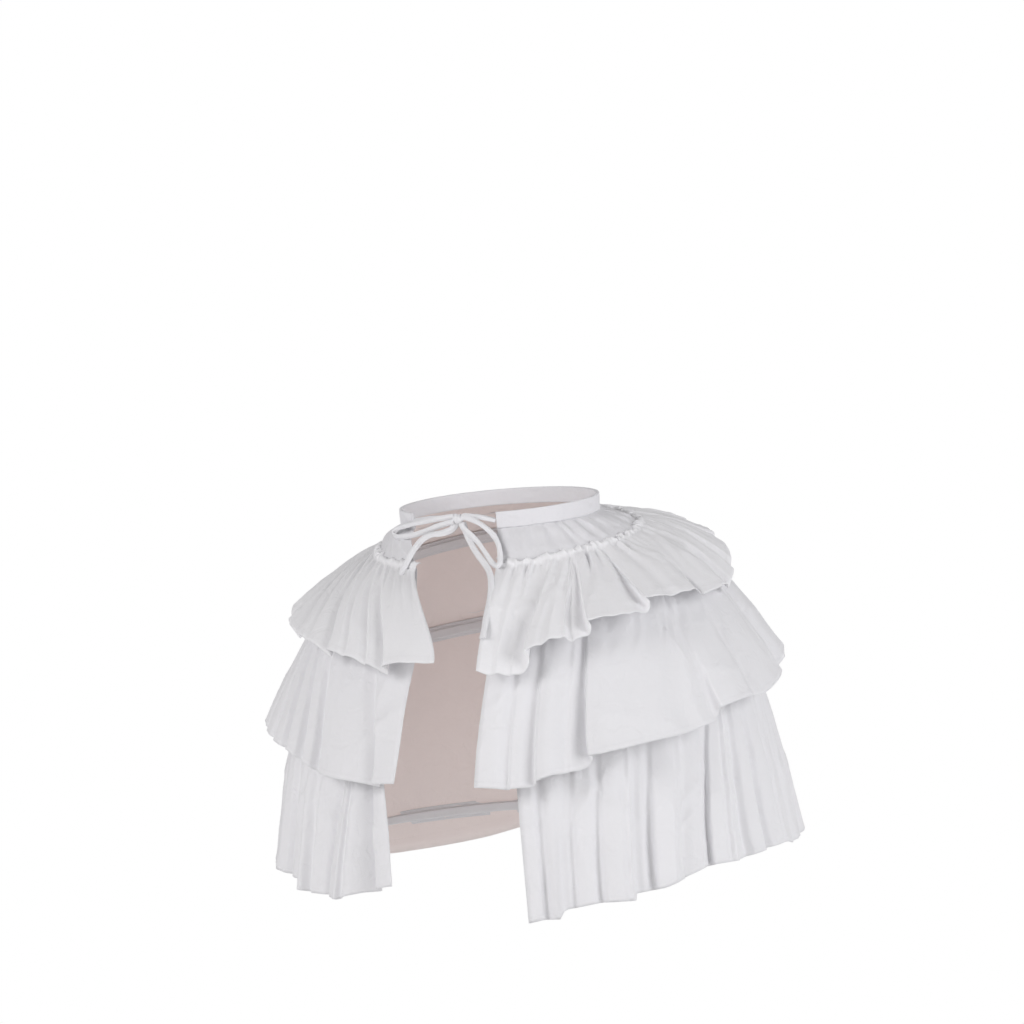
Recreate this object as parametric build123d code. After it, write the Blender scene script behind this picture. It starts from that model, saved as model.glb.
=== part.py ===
"""Pannier: a white cotton overskirt, open at the front, with three gathered tiers on a hooped bell.

The wearer faces -Y, their left side is +X and +Z is up. The origin is the middle of the waist,
level with the top edge of the waistband. All lengths are in millimetres.
"""
from build123d import *
from math import cos, degrees, hypot, pi, radians, sin, tan
from types import SimpleNamespace
import os

# Cloth, tape and clearances
CLOTH = 1.5                   # a sewn layer of cotton with its hems
BAND_CLOTH = 1.2              # one layer of the folded waistband
CASING_TAPE = 1.0             # tape of the hoop channels
CASING_CLEARANCE = 0.5        # between a channel and the flat facets of the skirt
CLEARANCE = 0.3               # between pieces that are sewn or slipped together

# Waistband
WAIST_HALF_WIDTH = 121.5
WAIST_HALF_DEPTH = 101.0
WAIST_TILT_SHARE = 0.025      # rise for each step towards the back
BAND_HEIGHT = 19.0
WAIST_LEFT_DEG = 18.0         # front end on the wearer's left, from the middle of the front
WAIST_RIGHT_DEG = -40.0       # front end on the wearer's right

# Yoke: the skirt between the waistband and the upper seam
YOKE_HEIGHT = 26.0
YOKE_WIDENING = 38.5
YOKE_DEEPENING = 49.0
YOKE_SHIFT_BACK = 20.0
YOKE_TILT_SHARE = 0.12
YOKE_PUFF = 2.6               # how far the gathers stand out under the band
YOKE_GATHER = 2.2             # depth of the gathers
YOKE_GATHER_COUNT = 26
YOKE_PUFF_SHARE = 0.5         # where between the band and the seam the gathers are fullest
UPPER_SEAM_LEFT_DEG = 17.0
UPPER_SEAM_RIGHT_DEG = -22.0

# Bell: the skirt under the tiers, from the upper seam down to the hem
UPPER_DROP = 39.0
UPPER_WIDENING = 52.0
UPPER_DEEPENING = 62.0
UPPER_SHIFT_BACK = 22.0
UPPER_TILT_SHARE = 0.15
MIDDLE_SEAM_LEFT_DEG = 17.0
MIDDLE_SEAM_RIGHT_DEG = -8.0
MIDDLE_DROP = 116.0
MIDDLE_WIDENING = 54.0
MIDDLE_DEEPENING = 56.0
MIDDLE_SHIFT_BACK = 26.0
MIDDLE_TILT_SHARE = 0.11
LOWER_SEAM_LEFT_DEG = 20.0
LOWER_SEAM_RIGHT_DEG = -12.0
LOWER_DROP = 230.0
LOWER_WIDENING = 18.0
LOWER_DEEPENING = 18.0
LOWER_SHIFT_BACK = 33.0
LOWER_TILT_SHARE = -0.10
HEM_LEFT_DEG = 22.0
HEM_RIGHT_DEG = -12.0

# Tiers: how far each hem hangs past the seam below it and stands out from the bell there
HEADER_HEIGHT = 7.0           # frill above the seam of the upper tier
HEADER_FLARE = 2.0
HEADER_GATHER = 1.2
TUCKED_HEIGHT = 4.0           # the same frill where the tier above covers it
TUCKED_FLARE = 0.6
TUCKED_GATHER = 0.4
SEAM_GATHER = 0.5
UPPER_HEM_OVERLAP = 9.5
UPPER_HEM_STAND_OFF = 51.0
UPPER_HEM_SHIFT_BACK = 11.0
UPPER_HEM_TILT_SHARE = 0.175
UPPER_HEM_LEFT_DEG = 14.0
UPPER_HEM_RIGHT_DEG = 3.0
UPPER_FOLD = 8.7
UPPER_CORNER_DROP = 17.0      # how much lower the hem hangs at the wearer's left front corner
MIDDLE_HEM_OVERLAP = 27.0
MIDDLE_HEM_STAND_OFF = 43.0
MIDDLE_HEM_SHIFT_BACK = 26.0
MIDDLE_HEM_TILT_SHARE = 0.145
MIDDLE_HEM_LEFT_DEG = 12.0
MIDDLE_HEM_RIGHT_DEG = -5.0
MIDDLE_FOLD = 11.0
MIDDLE_CORNER_DROP = 8.0
LOWER_HEM_RISE = 15.0
LOWER_HEM_STAND_OFF = 31.0
LOWER_HEM_SHIFT_BACK = 32.0
LOWER_HEM_TILT_SHARE = -0.05
LOWER_HEM_LEFT_DEG = 20.0
LOWER_HEM_RIGHT_DEG = -9.0
LOWER_FOLD = 11.0
LOWER_CORNER_DROP = 32.0
CORNER_REACH_SHARE = 0.14      # of the hem's length over which a corner's drop fades out

# Widths of the folds against a mean fold, from the wearer's left front edge round the back
UPPER_FOLD_SHARES = (0.7, 1.0, 1.0, 1.45, 1.4, 1.1, 0.85, 1.2, 1.0, 0.8, 1.3, 0.95, 1.1, 0.8,
                     1.25, 0.9, 1.1, 1.0, 0.8, 1.15, 0.95, 0.85, 0.7)
MIDDLE_FOLD_SHARES = (0.6, 0.6, 1.25, 0.5, 1.0, 1.1, 0.9, 1.2, 0.8, 1.3, 0.9, 1.0, 1.2, 0.85,
                      1.1, 1.0, 0.9, 0.8, 0.6, 0.5)
BACK_FOLD_SHARES = (1.1, 0.8, 1.0, 1.3, 0.9, 0.7, 1.2)
LOWER_FOLD_SHARES = ((0.6, 1.0, 0.6, 0.6, 1.1, 0.7, 1.1, 0.9) + 3 * BACK_FOLD_SHARES
                     + (0.9, 0.7, 1.1, 0.8, 0.8, 0.7, 0.5))
FOLD_FLATTEN_SHARE = 0.25     # flattens the outer side of a fold and sharpens its valley
FOLD_UNEVEN_SHARE = 0.22      # how much the depth of the folds varies
FOLD_UNEVEN_STEP = 2.4        # radians from one fold's depth to the next
POINTS_PER_FOLD = 8
POINTS_PER_GATHER = 6
POINTS_PER_STRETCH = 3
SMOOTH_STRETCH_COUNT = 20     # stretches of an edge that has no folds

# Hoops and their channels
HOOP_HEIGHT = 7.0
HOOP_THICKNESS = 1.0
HOOP_PLAY = 0.5               # round the capped end of a bone in its channel
TIP_WALL = 0.6
TIP_LENGTH = 9.0
CASING_SEAM = 4.0             # tape sewn down above and below the bone
CASING_BELOW_SEAM = 4.0       # from a tier's seam down to the channel's top
CASING_INSET_DEG = 2.0        # channel ends behind the skirt's front edge
HOOP_INSET_DEG = 1.0          # bone ends behind the channel's end
HEM_TO_CASING = 3.0           # from the skirt's hem up to the lowest channel
TIP_FIT = 0.1                 # between a bone and its cap

# Ties and bow: 9 mm tape, drawn together to a bundle this thick
TAPE_BUNDLE = 3.6
KNOT_WIDTH = 12.0
KNOT_DEPTH = 10.0
KNOT_HEIGHT = 12.0
KNOT_ROUNDING = 2.0
KNOT_X = -5.0
KNOT_Y = -106.0
KNOT_Z = -7.0
BEND_SHARE = 0.45             # of the shorter run beside a corner that its arc takes up
KNOT_GRIP = 1.5               # how far each tape runs into the knot
TIE_GAP = 0.6                 # between a tie and the end of the waistband that it is sewn to
KNOT_LEFT = KNOT_X + KNOT_WIDTH / 2 - KNOT_GRIP      # where the tapes end, on the wearer's left and right
KNOT_RIGHT = KNOT_X - KNOT_WIDTH / 2 + KNOT_GRIP
KNOT_FOOT = KNOT_Z - KNOT_HEIGHT / 2 + KNOT_GRIP
TIE_LEFT_POINTS = [(22, -99, -7), (10, -102.5, -5), (KNOT_LEFT, -103.5, -4)]
TIE_RIGHT_POINTS = [(-56, -90, -8), (-33, -99, -5.5), (KNOT_RIGHT, -103.5, -4)]
BOW_ROUTES = {
    "bow_loop_right": [
        (KNOT_RIGHT, -108.5, -4), (-30, -106.5, -6), (-52, -100, -9), (-76, -88, -13), (-100, -74, -18.5),
        (-108, -68, -21), (-110, -66.5, -25), (-106, -71.5, -28.5), (-95, -83, -29), (-72, -95, -26),
        (-48, -101, -20), (-28, -106.5, -13), (KNOT_RIGHT, -108.5, -10)],
    "bow_loop_left": [
        (KNOT_LEFT, -108.5, -4), (14, -108, -8), (28, -108.5, -16), (40, -111, -27), (48, -118, -40),
        (52, -127, -52), (53, -131, -57), (49, -132, -60), (43, -129.5, -57), (36, -125, -50),
        (22, -116, -35), (10, -112, -24), (0, -109.5, -17.5), (-1, -108.5, KNOT_FOOT)],
    "tie_tail_right": [
        (-8, -105, KNOT_FOOT), (-12, -107, -19), (-24, -110, -22), (-40, -109.5, -23), (-53, -109, -29),
        (-63, -112, -40), (-70, -119, -53), (-75, -128, -66)],
    "tie_tail_left": [
        (-1, -103.5, KNOT_FOOT), (1, -105, -20), (8, -111, -32), (20, -120, -46), (33, -128, -57),
        (44, -141, -66), (51, -155, -76), (56, -174, -90), (60, -198, -107), (64, -222, -125)],
}


def ring(half_width, half_depth, shift_back, height, tilt, left_deg, right_deg, corner_drop=0):
    """An ellipse round the body in a tilted plane, open at the front between two angles.

    Its end on the wearer's left may hang lower than the plane.
    """
    return SimpleNamespace(half_width=half_width, half_depth=half_depth, shift_back=shift_back, height=height,
                           tilt=tilt, left=left_deg, right=right_deg, corner_drop=corner_drop)


def between(upper, lower, share):
    """The ring that lies a share of the way from one ring down to another."""
    mixed = {name: value + share * (vars(lower)[name] - value) for name, value in vars(upper).items()}
    return SimpleNamespace(**mixed)


def below(upper, lower, drop):
    """The ring that lies a drop below one ring, on the cone to another."""
    return between(upper, lower, drop / (upper.height - lower.height))


def raised(level, rise):
    """The same ring at another height."""
    return SimpleNamespace(**{**vars(level), "height": level.height + rise})


def opened(level, left_deg, right_deg):
    """The same ring with other angles for its two front ends."""
    return SimpleNamespace(**{**vars(level), "left": left_deg, "right": right_deg})


def ring_point(level, share, offset):
    """The point at a share of the ring's length, from the wearer's left front round the back."""
    angle = radians(level.left + share * (360 + level.right - level.left))
    x = (level.half_width + offset) * sin(angle)
    y = level.shift_back - (level.half_depth + offset) * cos(angle)
    hang = level.corner_drop * max(0, 1 - share / CORNER_REACH_SHARE) ** 2
    return Vector(x, y, level.height + level.tilt * (y - level.shift_back) - hang)


def fold_curve(widths, points):
    """Each fold of a row as a list of points: the share of the length and the height from valley to crest.

    The first and the last fold are halves, so both front edges lie on a crest.
    """
    total = sum(widths)
    folds = []
    start = 0.0
    for number, width in enumerate(widths):
        first, last = number == 0, number == len(widths) - 1
        begin, turn = (pi, pi) if first else (0.0, pi) if last else (0.0, 2 * pi)
        steps = points // 2 if first or last else points
        fold = []
        for step in range(steps + 1):
            phase = begin + turn * step / steps
            share = (start + width * step / steps) / total
            depth = 1 + FOLD_UNEVEN_SHARE * sin(FOLD_UNEVEN_STEP * (number + step / steps))
            fold.append((share, depth * (-cos(phase) - FOLD_FLATTEN_SHARE * cos(2 * phase))))
        folds.append(fold)
        start += width
    return folds


def smooth_curve(count, points):
    """The same row of stretches for an edge with no folds."""
    steps = [step / points for step in range(points + 1)]
    return [[((number + step) / count, 0.0) for step in steps] for number in range(count)]


def joined(curve):
    """All points of a row in one list, each fold going on where the last one ends."""
    points = list(curve[0])
    for fold in curve[1:]:
        points += fold[1:]
    return points


def offset_points(level, outer, thickness):
    """The points of a curve that lies along a ring, moved inwards by the thickness of the cloth."""
    inner = []
    for number, point in enumerate(outer):
        along = outer[min(number + 1, len(outer) - 1)] - outer[max(number - 1, 0)]
        size = hypot(along.X, along.Y)
        x = point.X - thickness * along.Y / size
        y = point.Y + thickness * along.X / size
        inner.append(Vector(x, y, point.Z + level.tilt * (y - point.Y)))
    return inner


def slope_at(points, at):
    """The step from point to point along a curve, at one of its points."""
    if at == 0:
        return (points[1] * 4 - points[0] * 3 - points[2]) / 2
    if at == len(points) - 1:
        return (points[-1] * 3 - points[-2] * 4 + points[-3]) / 2
    return (points[at + 1] - points[at - 1]) / 2


def stretch_edges(points, counts):
    """Smooth edges through the points, one for each fold, that run on into each other."""
    edges = []
    start = 0
    for count in counts:
        end = start + count
        slopes = [slope_at(points, start), slope_at(points, end)]
        spacing = [float(number) for number in range(count + 1)]
        edges.append(Edge.make_spline(points[start:end + 1], slopes, parameters=spacing, scale=False))
        start = end
    return edges


def strip_outline(level, curve, offset, depth, lift, thickness):
    """The outer and the inner row of points of a folded strip of cloth that is cut through at one ring.

    From valley to crest the folds go out by the depth and up by the lift.
    """
    outer = [ring_point(level, share, offset + depth * height) + Vector(0, 0, lift * height)
             for share, height in joined(curve)]
    return outer, offset_points(level, outer, thickness)


def facets(row, following):
    """Flat triangles between two rows of points."""
    corners = zip(row, row[1:], following[1:], following)
    pairs = [((first, second, third), (first, third, fourth)) for first, second, third, fourth in corners]
    return [Face(Wire.make_polygon(triangle, close=True)) for pair in pairs for triangle in pair]


def sewn_strip(sections):
    """A solid sheet through a row of strip outlines, with flat facets of cloth between them."""
    outlines = [strip_outline(*section) for section in sections]
    faces = facets(*outlines[0]) + facets(*outlines[-1])
    for (outer, inner), (outer_below, inner_below) in zip(outlines, outlines[1:]):
        faces += facets(outer, outer_below) + facets(inner, inner_below)
        for end in (0, -1):
            faces += facets([outer[end], inner[end]], [outer_below[end], inner_below[end]])
    return Solid(Shell(faces))


def swept_band(upper, lower, left_deg, right_deg, profile):
    """A band that follows the wall between two rings.

    The profile is a closed row of points, each the share of the way down the wall and the inset from it.
    """
    curve = smooth_curve(SMOOTH_STRETCH_COUNT, POINTS_PER_STRETCH)
    shares = [share for share, height in joined(curve)]
    counts = [POINTS_PER_STRETCH] * SMOOTH_STRETCH_COUNT
    top, foot = opened(upper, left_deg, right_deg), opened(lower, left_deg, right_deg)
    starts = [ring_point(top, along, 0) for along in shares]
    downward = [ring_point(foot, along, 0) - start for along, start in zip(shares, starts)]
    inward = [ring_point(top, along, -1) - start for along, start in zip(shares, starts)]
    rows = [[start + down * share + into * inset for start, down, into in zip(starts, downward, inward)]
            for share, inset in profile]
    faces = [Face(Wire.make_polygon([row[end] for row in rows], close=True)) for end in (0, -1)]
    lines = [stretch_edges(row, counts) for row in rows]
    for line, following in zip(lines, lines[1:] + lines[:1]):
        faces += [Face.make_surface_from_curves(*pair) for pair in zip(line, following)]
    return Solid(Shell(faces))


# Rings of the bell, from the waist down
waist = ring(WAIST_HALF_WIDTH, WAIST_HALF_DEPTH, 0, 0, WAIST_TILT_SHARE, WAIST_LEFT_DEG, WAIST_RIGHT_DEG)
band_edge = raised(waist, -BAND_HEIGHT)
upper_seam = ring(WAIST_HALF_WIDTH + YOKE_WIDENING, WAIST_HALF_DEPTH + YOKE_DEEPENING, YOKE_SHIFT_BACK,
                  band_edge.height - YOKE_HEIGHT, YOKE_TILT_SHARE, UPPER_SEAM_LEFT_DEG, UPPER_SEAM_RIGHT_DEG)
middle_seam = ring(upper_seam.half_width + UPPER_WIDENING, upper_seam.half_depth + UPPER_DEEPENING,
                   UPPER_SHIFT_BACK, upper_seam.height - UPPER_DROP, UPPER_TILT_SHARE,
                   MIDDLE_SEAM_LEFT_DEG, MIDDLE_SEAM_RIGHT_DEG)
lower_seam = ring(middle_seam.half_width + MIDDLE_WIDENING, middle_seam.half_depth + MIDDLE_DEEPENING,
                  MIDDLE_SHIFT_BACK, middle_seam.height - MIDDLE_DROP, MIDDLE_TILT_SHARE,
                  LOWER_SEAM_LEFT_DEG, LOWER_SEAM_RIGHT_DEG)
base_hem = ring(lower_seam.half_width + LOWER_WIDENING, lower_seam.half_depth + LOWER_DEEPENING,
                LOWER_SHIFT_BACK, lower_seam.height - LOWER_DROP, LOWER_TILT_SHARE,
                HEM_LEFT_DEG, HEM_RIGHT_DEG)

# Hems of the tiers
upper_hem = ring(middle_seam.half_width + UPPER_HEM_STAND_OFF, middle_seam.half_depth + UPPER_HEM_STAND_OFF,
                 UPPER_HEM_SHIFT_BACK, middle_seam.height - UPPER_HEM_OVERLAP, UPPER_HEM_TILT_SHARE,
                 UPPER_HEM_LEFT_DEG, UPPER_HEM_RIGHT_DEG, UPPER_CORNER_DROP)
middle_hem = ring(lower_seam.half_width + MIDDLE_HEM_STAND_OFF, lower_seam.half_depth + MIDDLE_HEM_STAND_OFF,
                  MIDDLE_HEM_SHIFT_BACK, lower_seam.height - MIDDLE_HEM_OVERLAP, MIDDLE_HEM_TILT_SHARE,
                  MIDDLE_HEM_LEFT_DEG, MIDDLE_HEM_RIGHT_DEG, MIDDLE_CORNER_DROP)
lower_hem = ring(base_hem.half_width + LOWER_HEM_STAND_OFF, base_hem.half_depth + LOWER_HEM_STAND_OFF,
                 LOWER_HEM_SHIFT_BACK, base_hem.height + LOWER_HEM_RISE, LOWER_HEM_TILT_SHARE,
                 LOWER_HEM_LEFT_DEG, LOWER_HEM_RIGHT_DEG, LOWER_CORNER_DROP)

# Depths from the waistband's outer face
SLOT_WIDTH = CLOTH + 2 * CLEARANCE
BAND_THICKNESS = 2 * BAND_CLOTH + SLOT_WIDTH
SKIRT_TOP_INSET = BAND_CLOTH + CLEARANCE


def waistband():
    """One strip folded over lengthwise, with a slot from below for the skirt's top edge."""
    fold = BAND_CLOTH / BAND_HEIGHT
    slot_outside = BAND_CLOTH
    slot_inside = BAND_CLOTH + SLOT_WIDTH
    profile = [(0, 0), (1, 0), (1, slot_outside), (fold, slot_outside), (fold, slot_inside), (1, slot_inside),
               (1, BAND_THICKNESS), (0, BAND_THICKNESS)]
    return swept_band(waist, band_edge, WAIST_LEFT_DEG, WAIST_RIGHT_DEG, profile)


def base_skirt():
    """The bell: gathered into the band, then plain down to its hem."""
    gathers = fold_curve([1.0] * YOKE_GATHER_COUNT, POINTS_PER_GATHER)
    plain = [[(share, 0.0) for share, height in gather] for gather in gathers]
    top = raised(waist, -BAND_CLOTH - CLEARANCE)
    puff = between(band_edge, upper_seam, YOKE_PUFF_SHARE)
    return sewn_strip([
        (top, plain, -SKIRT_TOP_INSET, 0, 0, CLOTH),
        (band_edge, plain, -SKIRT_TOP_INSET, 0, 0, CLOTH),
        (puff, gathers, YOKE_PUFF, YOKE_GATHER, 0, CLOTH),
        (upper_seam, plain, 0, 0, 0, CLOTH),
        (middle_seam, plain, 0, 0, 0, CLOTH),
        (lower_seam, plain, 0, 0, 0, CLOTH),
        (base_hem, plain, 0, 0, 0, CLOTH),
    ])


FOLD_REACH_SHARE = (1 + FOLD_FLATTEN_SHARE) * (1 + FOLD_UNEVEN_SHARE)     # deepest valley against a fold's depth
CREST_REACH_SHARE = (1 - FOLD_FLATTEN_SHARE) * (1 + FOLD_UNEVEN_SHARE)    # highest crest


def ruffle(above, seam, hem, widths, fold, frill, bulge):
    """A gathered tier: a small frill above its seam, then folds that open out down to its hem.

    The bulge is how far the skirt puffs out under the frill. The folds stand square to the slope of the tier.
    """
    folds = fold_curve(widths, POINTS_PER_FOLD)
    height, flare, gather = frill
    seated = CLEARANCE + CLOTH + FOLD_REACH_SHARE * SEAM_GATHER
    header = below(seam, above, -height)
    spread, drop = hem.half_width - seam.half_width, seam.height - hem.height
    depth, lift = fold * drop / hypot(spread, drop), fold * spread / hypot(spread, drop)
    return sewn_strip([
        (header, folds, CLEARANCE + CLOTH + FOLD_REACH_SHARE * gather + bulge + flare, gather, 0, CLOTH),
        (seam, folds, seated, SEAM_GATHER, 0, CLOTH),
        (hem, folds, 0, depth, lift, CLOTH),
    ])


OPEN_FRILL = (HEADER_HEIGHT, HEADER_FLARE, HEADER_GATHER)
TUCKED_FRILL = (TUCKED_HEIGHT, TUCKED_FLARE, TUCKED_GATHER)
PUFF_REACH = YOKE_PUFF + CREST_REACH_SHARE * YOKE_GATHER
HEADER_BULGE = PUFF_REACH * HEADER_HEIGHT / (YOKE_HEIGHT * (1 - YOKE_PUFF_SHARE))


BONE_ROOM = HOOP_HEIGHT + 2 * (TIP_WALL + TIP_FIT + HOOP_PLAY)
POCKET_DEPTH = HOOP_THICKNESS + 2 * (TIP_WALL + TIP_FIT + HOOP_PLAY)
CASING_HEIGHT = BONE_ROOM + 2 * CASING_SEAM
CASING_INSET = CLOTH + CASING_CLEARANCE
HOOP_INSET = CASING_INSET + HOOP_PLAY + TIP_WALL + TIP_FIT


def channel(upper, lower, drop):
    """Where a hoop's channel lies: the wall's rings, the drop to its middle and its front angles."""
    middle_drop = drop + CASING_HEIGHT / 2
    middle = below(upper, lower, middle_drop)
    return SimpleNamespace(upper=upper, lower=lower, middle_drop=middle_drop, radius=middle.half_width,
                           left=middle.left + CASING_INSET_DEG, right=middle.right - CASING_INSET_DEG)


def channel_band(place, left_deg, right_deg, outline):
    """A band in a channel, from points that give the height from its middle and the inset from the wall."""
    drop = place.upper.height - place.lower.height
    profile = [((place.middle_drop - height) / drop, inset) for height, inset in outline]
    return swept_band(place.upper, place.lower, left_deg, right_deg, profile)


def block(height, inset, depth):
    """The outline of a plain rectangular band."""
    return [(height / 2, inset), (-height / 2, inset), (-height / 2, inset + depth), (height / 2, inset + depth)]


def casing(place):
    """A tape channel: sewn flat along both edges, standing off the skirt over the bone."""
    edge, room, ridge = CASING_HEIGHT / 2, BONE_ROOM / 2, BONE_ROOM / 2 + CASING_TAPE
    seam, pocket = CASING_INSET + CASING_TAPE, CASING_INSET + POCKET_DEPTH
    crown = pocket + CASING_TAPE
    outline = [(edge, CASING_INSET), (room, CASING_INSET), (room, pocket), (-room, pocket),
               (-room, CASING_INSET), (-edge, CASING_INSET), (-edge, seam), (-ridge, seam),
               (-ridge, crown), (ridge, crown), (ridge, seam), (edge, seam)]
    return channel_band(place, place.left, place.right, outline)


def hoop(place):
    """A flat bone in the middle of its channel."""
    return channel_band(place, place.left + HOOP_INSET_DEG, place.right - HOOP_INSET_DEG,
                        block(HOOP_HEIGHT, HOOP_INSET, HOOP_THICKNESS))


def end_cap(place, bone_end_deg, side):
    """The dipped cap on one end of a bone; the side is 1 at the left end and -1 at the right."""
    shell = TIP_WALL + TIP_FIT
    reach = side * degrees(TIP_LENGTH / place.radius)
    wall = side * degrees(shell / place.radius)
    fit = side * degrees(TIP_FIT / place.radius)
    outside = sorted((bone_end_deg - wall, bone_end_deg + reach))
    inside = sorted((bone_end_deg - fit, bone_end_deg + 2 * reach))
    sleeve = channel_band(place, outside[0], outside[1] - 360,
                          block(HOOP_HEIGHT + 2 * shell, HOOP_INSET - shell, HOOP_THICKNESS + 2 * shell))
    room = channel_band(place, inside[0], inside[1] - 360,
                        block(HOOP_HEIGHT + 2 * TIP_FIT, HOOP_INSET - TIP_FIT, HOOP_THICKNESS + 2 * TIP_FIT))
    return (sleeve - room).solid()


def end_caps(place):
    """Both caps of a bone."""
    return [end_cap(place, place.left + HOOP_INSET_DEG, 1), end_cap(place, place.right - HOOP_INSET_DEG, -1)]


def corner_radii(route):
    """For each corner of a route, the largest arc that its two runs leave room for."""
    points = [Vector(*point) for point in route]
    radii = []
    for before, corner, after in zip(points, points[1:], points[2:]):
        run_in, run_out = corner - before, after - corner
        half_turn = radians(run_in.get_angle(run_out)) / 2
        radii.append(BEND_SHARE * min(run_in.length, run_out.length) / tan(half_turn))
    return radii


def tape(name, route):
    """A bundle of tape along straight runs that are joined by arcs."""
    radii = corner_radii(route)
    path = FilletPolyline(*route, radius=radii)
    section = Plane(origin=path @ 0, z_dir=path % 0) * Circle(TAPE_BUNDLE / 2)
    piece = sweep(section, path=path)
    print(name, "length", round(path.length), "arcs", [round(radius, 1) for radius in radii],
          "volume share", round(piece.volume / (path.length * pi * TAPE_BUNDLE ** 2 / 4), 3))
    return piece


def tie_route(share, points):
    """A tie from just in front of one end of the waistband to the knot."""
    gap = degrees(TIE_GAP / WAIST_HALF_WIDTH)
    middle = raised(waist, -BAND_HEIGHT / 2)
    end = ring_point(opened(middle, WAIST_LEFT_DEG - gap, WAIST_RIGHT_DEG + gap), share, -BAND_THICKNESS / 2)
    return [(end.X, end.Y, end.Z)] + points


def bow_knot(tapes):
    """The drawn-up knot of the bow, with the tapes that run into it."""
    knot = Pos(KNOT_X, KNOT_Y, KNOT_Z) * Box(KNOT_WIDTH, KNOT_DEPTH, KNOT_HEIGHT)
    knot = fillet(knot.edges(), KNOT_ROUNDING)
    for tape_end in tapes:
        knot = knot - tape_end
    return knot


CHANNELS = {
    "upper": channel(middle_seam, lower_seam, CASING_BELOW_SEAM),
    "middle": channel(lower_seam, base_hem, CASING_BELOW_SEAM),
    "lower": channel(lower_seam, base_hem, LOWER_DROP - HEM_TO_CASING - CASING_HEIGHT),
}
TIE_ROUTES = {"tie_left": tie_route(0, TIE_LEFT_POINTS), "tie_right": tie_route(1, TIE_RIGHT_POINTS)}

PIECES = {
    "waistband": waistband(),
    "base_skirt": base_skirt(),
    "ruffle_upper": ruffle(band_edge, upper_seam, upper_hem, UPPER_FOLD_SHARES, UPPER_FOLD,
                           OPEN_FRILL, HEADER_BULGE),
    "ruffle_middle": ruffle(upper_seam, middle_seam, middle_hem, MIDDLE_FOLD_SHARES, MIDDLE_FOLD,
                            TUCKED_FRILL, 0),
    "ruffle_lower": ruffle(middle_seam, lower_seam, lower_hem, LOWER_FOLD_SHARES, LOWER_FOLD,
                           TUCKED_FRILL, 0),
}
for level, place in CHANNELS.items():
    PIECES[f"casing_{level}"] = casing(place)
    PIECES[f"hoop_{level}"] = hoop(place)
PIECES["hoop_tips"] = Compound(children=[cap for place in CHANNELS.values() for cap in end_caps(place)])
tapes = {name: tape(name, route) for name, route in {**TIE_ROUTES, **BOW_ROUTES}.items()}
PIECES.update(tapes)
PIECES["bow_knot"] = bow_knot(tapes.values())

os.makedirs("parts", exist_ok=True)
for name, piece in PIECES.items():
    export_step(piece, f"parts/{name}.step")
    print(name, round(piece.volume), piece.is_valid)
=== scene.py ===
"""The looks of the pannier: gathered cotton tiers on a plain bell, hoop channels and a tape bow.

All lengths are in metres. The wearer faces -Y, their left side is +X and +Z is up.
"""

from math import hypot, pi, radians
from types import SimpleNamespace

import bmesh
import bpy
import numpy as np
from mathutils import Matrix, Vector


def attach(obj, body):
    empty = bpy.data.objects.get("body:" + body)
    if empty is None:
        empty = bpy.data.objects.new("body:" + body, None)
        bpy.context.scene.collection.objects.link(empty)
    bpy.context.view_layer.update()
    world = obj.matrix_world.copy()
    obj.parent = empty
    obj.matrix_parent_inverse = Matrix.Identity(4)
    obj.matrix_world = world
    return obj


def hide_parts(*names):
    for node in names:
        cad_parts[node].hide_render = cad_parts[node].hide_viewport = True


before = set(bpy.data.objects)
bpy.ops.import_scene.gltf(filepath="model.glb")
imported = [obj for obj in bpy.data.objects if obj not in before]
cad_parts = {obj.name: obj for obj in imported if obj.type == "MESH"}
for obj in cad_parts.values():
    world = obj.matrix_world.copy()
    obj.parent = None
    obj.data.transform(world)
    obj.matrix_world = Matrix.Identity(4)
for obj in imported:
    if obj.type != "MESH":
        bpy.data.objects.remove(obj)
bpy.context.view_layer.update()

BODY = "root"
CLOTH_THICKNESS = 0.0005
BAND_THICKNESS = 0.0045


# Rings of the bell and hems of the tiers, on or close to those of the solids

def ring(half_width, half_depth, shift_back, height, tilt, left_deg, right_deg):
    """An ellipse round the body in a tilted plane, open at the front between two angles."""
    return SimpleNamespace(half_width=half_width, half_depth=half_depth, shift_back=shift_back,
                           height=height, tilt=tilt, left=left_deg, right=360 + right_deg)


WAIST = ring(0.1215, 0.101, 0.0, 0.0, 0.025, 18, -40)
BAND_EDGE = ring(0.1215, 0.101, 0.0, -0.019, 0.025, 18, -40)
UPPER_SEAM = ring(0.160, 0.150, 0.020, -0.045, 0.12, 17, -20.5)
MIDDLE_SEAM = ring(0.212, 0.212, 0.022, -0.084, 0.15, 17, -6)
LOWER_SEAM = ring(0.266, 0.268, 0.026, -0.200, 0.11, 20, -14)
BASE_HEM = ring(0.284, 0.286, 0.033, -0.430, -0.10, 22, -14.5)
UPPER_HEM = ring(0.263, 0.263, 0.011, -0.0935, 0.175, 14, 4)
MIDDLE_HEM = ring(0.309, 0.311, 0.026, -0.227, 0.145, 12, -5)
LOWER_HEM = ring(0.315, 0.317, 0.032, -0.415, -0.05, 20, -7.6)


def between(upper, lower, share):
    """The rings that lie a share of the way from one ring down to another; the share may be an array."""
    return SimpleNamespace(**{name: value + share * (vars(lower)[name] - value)
                              for name, value in vars(upper).items()})


def places(level, angle_deg, out, up):
    """Points on a ring at an angle from the middle of the front, moved out and up from it."""
    angle = np.radians(angle_deg)
    x = (level.half_width + out) * np.sin(angle)
    y = level.shift_back - (level.half_depth + out) * np.cos(angle)
    return np.stack([x, y, level.height + level.tilt * (y - level.shift_back) + up], axis=-1)


# Uneven cloth

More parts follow.
